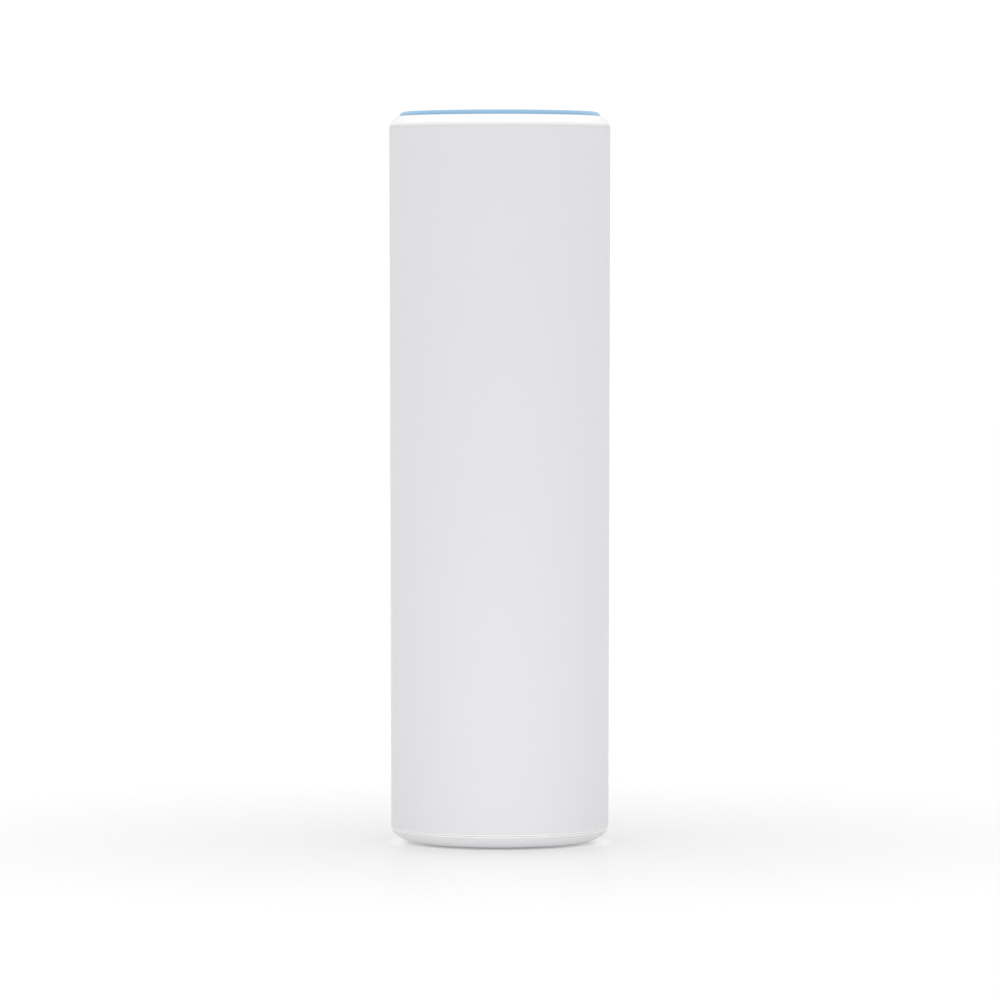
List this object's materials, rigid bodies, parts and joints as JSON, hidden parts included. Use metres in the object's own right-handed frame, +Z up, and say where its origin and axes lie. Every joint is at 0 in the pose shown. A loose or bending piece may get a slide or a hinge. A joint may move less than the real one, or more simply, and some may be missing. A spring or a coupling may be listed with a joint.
{
  "type": "mesh wifi node",
  "caption": "Slim round white mesh wifi node with a lit ring on top and a twist-off base that covers a network jack and a reset button.",
  "frame": {"origin": "on the surface the node stands on, on the axis of the round body", "axes": "+Z up along the body's axis, -Y the plain front, +Y the side where the network cable leaves"},
  "size_m": [0.0476, 0.0476, 0.1577],
  "materials": {
    "white_shell": "fine matt white moulding",
    "bright_shell": "satin white moulding",
    "lit_ring": "translucent light guide, lit blue",
    "soft_rubber": "soft grey rubber",
    "inner_plastic": "black moulding",
    "circuit_board": "green solder mask",
    "white_board": "white solder mask",
    "chip_black": "moulded epoxy",
    "cast_aluminium": "bead-blasted aluminium",
    "tinned_steel": "tinned sheet steel",
    "screw_steel": "zinc-plated steel",
    "gold_contacts": "gold-plated spring bronze",
    "antenna_brass": "stamped brass",
    "thermal_pad": "soft silicone pad",
    "ferrite": "sintered ferrite",
    "winding_tape": "yellow polyester tape",
    "can_sleeve": "shrink sleeve",
    "lead_sheath": "thin grey sheath",
    "led_lens": "moulded LED lens"
  },
  "bodies": {
    "foot": {"base_cap": "white_shell", "foot_pad": "soft_rubber"},
    "seal": {"base_seal": "soft_rubber"},
    "casing": {"outer_tube": "white_shell", "top_bezel": "bright_shell", "light_ring": "lit_ring", "top_cap": "white_shell", "connector_well": "white_shell", "core_frame": "inner_plastic", "main_board": "circuit_board", "heat_sink": "cast_aluminium", "processor": "chip_black", "processor_pad": "thermal_pad", "radio_chip_upper": "chip_black", "radio_chip_upper_pad": "thermal_pad", "radio_chip_lower": "chip_black", "radio_chip_lower_pad": "thermal_pad", "memory_chip": "chip_black", "inductor": "ferrite", "lan_transformer": "chip_black", "capacitor_left": "can_sleeve", "capacitor_right": "can_sleeve", "transformer_core": "ferrite", "transformer_winding": "winding_tape", "processor_shield": "tinned_steel", "radio_shield": "tinned_steel", "ethernet_jack": "chip_black", "jack_shield": "tinned_steel", "jack_contacts": "gold_contacts", "tact_switch": "chip_black", "well_screw_left": "screw_steel", "well_screw_right": "screw_steel", "antenna_carrier_front": "inner_plastic", "antenna_carrier_rear": "inner_plastic", "led_board": "white_board", "light_baffle": "bright_shell", "led_lead": "lead_sheath", "board_screw_1": "screw_steel", "antenna_1": "antenna_brass", "antenna_lead_1": "lead_sheath", "board_screw_2": "screw_steel", "antenna_2": "antenna_brass", "antenna_lead_2": "lead_sheath", "board_screw_3": "screw_steel", "antenna_3": "antenna_brass", "antenna_lead_3": "lead_sheath", "board_screw_4": "screw_steel", "antenna_4": "antenna_brass", "antenna_lead_4": "lead_sheath", "led_1": "led_lens", "led_2": "led_lens", "led_3": "led_lens", "led_4": "led_lens", "led_5": "led_lens", "led_6": "led_lens"},
    "button": {"reset_button": "chip_black", "switch_stem": "inner_plastic"}
  },
  "joints": [
    {"name": "twist_lock", "type": "hinge", "parent": "foot", "child": "seal", "pos_m": [0, 0, 0.0035], "axis": [0, 0, -1], "range_deg": [0, 15]},
    {"name": "lift_off", "type": "slide", "parent": "seal", "child": "casing", "axis": [0, 0, 1], "range_m": [0, 0.03]},
    {"name": "reset_press", "type": "slide", "parent": "casing", "child": "button", "axis": [0, 0, 1], "range_m": [0, 0.0006], "stiffness_N_per_m": 2000}
  ]
}
